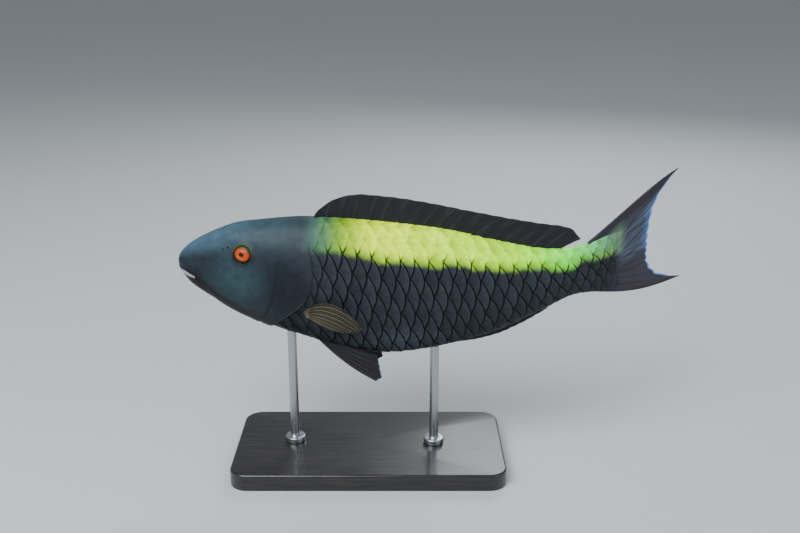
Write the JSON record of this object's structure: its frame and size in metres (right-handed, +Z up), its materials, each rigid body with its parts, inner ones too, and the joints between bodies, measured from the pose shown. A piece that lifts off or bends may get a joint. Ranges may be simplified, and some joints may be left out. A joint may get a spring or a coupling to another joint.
{
  "type": "parrotfish display model",
  "caption": "Life-size still model of a parrotfish, dark with a yellow back, tail swung to one side, held by two rods on a flat base.",
  "frame": {"origin": "centre of the stand base's underside", "axes": "+Z up, -X towards the head, +X towards the tail, -Y towards the side seen in the picture, +Y the side that the tail swings to"},
  "size_m": [0.4637, 0.1587, 0.251],
  "materials": {
    "skin_head": "smooth slate-grey skin, a little wet",
    "skin_body": "dark scales with a yellow band along the back",
    "tooth": "smooth off-white tooth plate",
    "eye": "glossy orange-red iris with a dark pupil",
    "fin_dark": "near-black fin membrane over rays",
    "fin_tail": "dark maroon fin membrane with paler streaks",
    "fin_amber": "amber-brown, half clear fin membrane over rays",
    "stand_base": "black satin lacquer on wood",
    "stand_metal": "brushed steel rod"
  },
  "bodies": {
    "root": {"head": "skin_head", "lower_jaw": "skin_head", "gill_cover_left": "skin_head", "gill_cover_right": "skin_head", "trunk": "skin_body", "tail_stalk": "skin_body", "beak_upper": "tooth", "beak_lower": "tooth", "eye_left": "eye", "eye_right": "eye", "dorsal_fin": "fin_dark", "anal_fin": "fin_dark", "pelvic_fin_left": "fin_dark", "pelvic_fin_right": "fin_dark", "caudal_fin_upper": "fin_tail", "caudal_fin_lower": "fin_tail", "pectoral_fin_left": "fin_amber", "pectoral_fin_right": "fin_amber", "stand_base": "stand_base", "stand_rod_front": "stand_metal", "stand_rod_rear": "stand_metal"}
  },
  "joints": []
}
